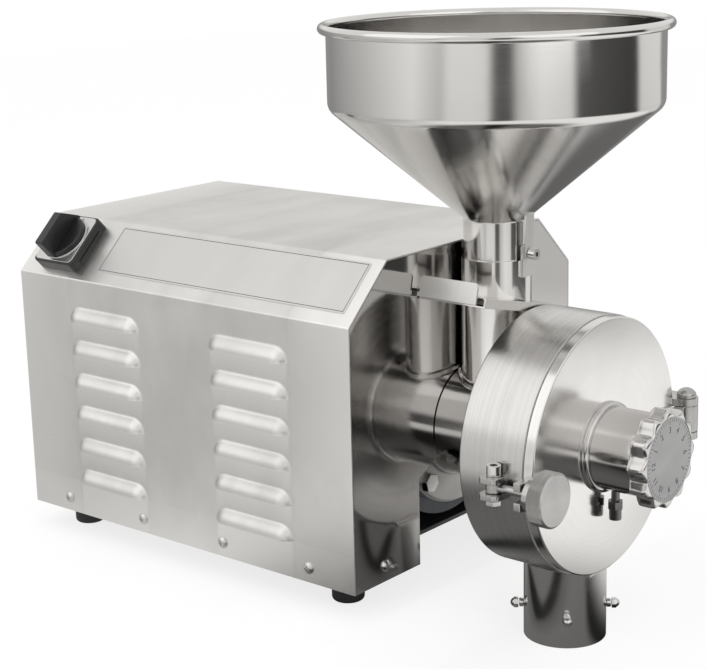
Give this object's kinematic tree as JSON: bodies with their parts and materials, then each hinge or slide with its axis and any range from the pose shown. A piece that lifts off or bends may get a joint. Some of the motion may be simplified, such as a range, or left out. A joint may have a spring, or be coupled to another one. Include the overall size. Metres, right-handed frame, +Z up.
{
  "type": "disc mill",
  "caption": "Direct-drive disc mill: sheet-cased motor, auger-fed grinding head with a hinged cover, swing-bolt clamp, gap knob, feed gate, funnel hopper and outlet tube.",
  "frame": {"origin": "centre of the outlet tube's lower end, on the shaft's vertical plane", "axes": "+X along the motor shaft from the casing to the adjusting knob, +Z up, -Y the side with the switch and the swing-bolt clamp"},
  "size_m": [0.527, 0.2906, 0.4416],
  "materials": {
    "satin_sheet": "fine satin sheet",
    "mirror_sheet": "mirror polished sheet",
    "polished_steel": "polished, with weld beads",
    "turned_steel": "fine turned and polished",
    "spun_steel": "spun and polished",
    "bolt_steel": "bright hardware",
    "plate_alloy": "fine satin",
    "black_paint": "semi-gloss black",
    "motor_paint": "satin grey",
    "core_iron": "varnished laminations",
    "disc_iron": "cast and ground",
    "copper": "varnished copper wire",
    "bronze": "bearing bronze",
    "black_rubber": "matt",
    "brown_rubber": "matt",
    "pale_rubber": "food-grade silicone",
    "black_plastic": "fine moulded"
  },
  "bodies": {
    "frame": {"casing_wrap": "satin_sheet", "front_panel": "mirror_sheet", "rear_panel": "satin_sheet", "base_plate": "black_paint", "rubber_feet": "black_rubber", "foot_screws": "bolt_steel", "casing_screws": "bolt_steel", "blank_plate": "plate_alloy", "switch_body": "black_plastic", "switch_plate": "plate_alloy", "cable_gland": "black_plastic", "motor_frame": "motor_paint", "motor_front_bell": "motor_paint", "motor_rear_bell": "motor_paint", "stator": "core_iron", "windings": "copper", "fan_cowl": "motor_paint", "terminal_box": "black_plastic", "motor_bolts": "bolt_steel", "front_bearing": "bolt_steel", "rear_bearing": "bolt_steel", "barrel": "polished_steel", "flange_bolts": "bolt_steel", "shaft_seal": "brown_rubber", "feed_tube": "polished_steel", "hopper_lug": "polished_steel", "hopper_screw": "bolt_steel", "gate_channel": "polished_steel", "drum": "polished_steel", "drum_seal": "pale_rubber", "outlet_tube": "polished_steel", "sock_screws": "bolt_steel", "hinge_ears": "polished_steel", "hinge_pin": "bolt_steel", "clamp_ears": "polished_steel", "clamp_pin": "bolt_steel"},
    "rotor": {"motor_shaft": "bolt_steel", "rotor_core": "core_iron", "cooling_fan": "black_plastic", "shaft_key": "bolt_steel", "auger": "disc_iron", "turning_disc": "disc_iron", "disc_bolt": "bolt_steel"},
    "gate": {"gate_plate": "satin_sheet"},
    "clamp_bolt": {"swing_bolt": "bolt_steel"},
    "clamp_nut": {"knurled_nut": "bolt_steel"},
    "cover": {"cover_disc": "turned_steel", "cover_neck": "turned_steel", "neck_bush": "bronze", "hinge_knuckle": "polished_steel", "cover_fork": "polished_steel"},
    "carrier": {"disc_carrier": "turned_steel", "still_disc": "disc_iron", "carrier_screws": "bolt_steel"},
    "knob": {"knob": "turned_steel", "dial": "plate_alloy"},
    "lock": {"lock_bolt": "bolt_steel"},
    "hopper": {"hopper": "spun_steel", "hopper_strap": "polished_steel"},
    "switch": {"switch_handle": "black_plastic"}
  },
  "joints": [
    {"name": "rotor_spin", "type": "hinge", "parent": "frame", "child": "rotor", "pos_m": [0, 0, 0.1486], "axis": [1, 0, 0], "continuous": true},
    {"name": "gate_slide", "type": "slide", "parent": "frame", "child": "gate", "axis": [0, -0.9732, 0.23], "range_m": [0, 0.05]},
    {"name": "clamp_swing", "type": "hinge", "parent": "frame", "child": "clamp_bolt", "pos_m": [0.0075, -0.099, 0.1416], "axis": [0, 0, -1], "range_deg": [0, 110]},
    {"name": "clamp_nut_spin", "type": "hinge", "parent": "clamp_bolt", "child": "clamp_nut", "pos_m": [0.05, -0.099, 0.1416], "axis": [1, 0, 0], "continuous": true},
    {"name": "cover_swing", "type": "hinge", "parent": "frame", "child": "cover", "pos_m": [0.038, 0.104, 0.1451], "axis": [0, 0, 1], "range_deg": [0, 105]},
    {"name": "knob_turn", "type": "hinge", "parent": "cover", "child": "knob", "pos_m": [0.07, 0, 0.1486], "axis": [1, 0, 0], "range_deg": [-180, 540]},
    {"name": "carrier_slide", "type": "slide", "parent": "cover", "child": "carrier", "axis": [1, 0, 0], "range_m": [-0.001, 0.003]},
    {"name": "lock_turn", "type": "hinge", "parent": "cover", "child": "lock", "pos_m": [0.0416, 0, 0.1], "axis": [0, 0, 1], "range_deg": [0, 360]},
    {"name": "hopper_lift", "type": "slide", "parent": "frame", "child": "hopper", "axis": [0, 0, 1], "range_m": [0, 0.15]},
    {"name": "switch_turn", "type": "hinge", "parent": "frame", "child": "switch", "pos_m": [-0.3853, -0.1138, 0.2646], "axis": [0, 0.6862, -0.7274], "range_deg": [0, 60]}
  ],
  "couplings": [
    {"joint": "knob_turn", "follows": "carrier_slide", "rad_per_m": 3141.6}
  ]
}
